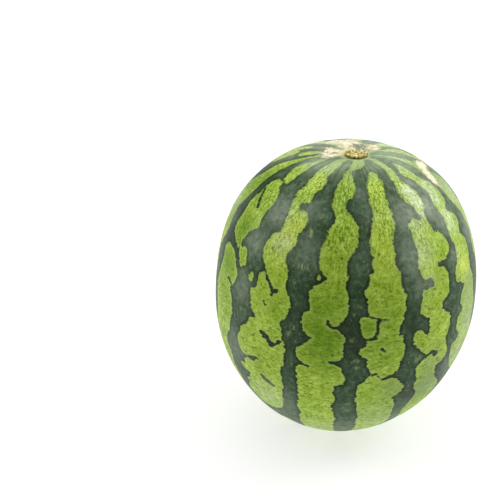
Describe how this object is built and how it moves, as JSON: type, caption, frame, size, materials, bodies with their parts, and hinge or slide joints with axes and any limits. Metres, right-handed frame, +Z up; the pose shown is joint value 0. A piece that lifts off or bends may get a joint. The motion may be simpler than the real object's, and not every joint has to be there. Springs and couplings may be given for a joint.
{
  "type": "watermelon",
  "caption": "Whole round-oval striped watermelon, picked, with its dried stem stub, standing on its blossom end on a small flat spot.",
  "frame": {"origin": "on the resting surface, under the middle of the object's box", "axes": "+Z up, along the fruit's long axis towards the stem end; -Y is the side that the picture shows"},
  "size_m": [0.2394, 0.2406, 0.2731],
  "materials": {
    "rind": "natural waxy rind, satin, light green with dark green marbled stripes from pole to pole",
    "stem_cork": "dry, matt, fibrous cork"
  },
  "bodies": {
    "root": {"fruit": "rind", "stem_stub": "stem_cork"}
  },
  "joints": []
}
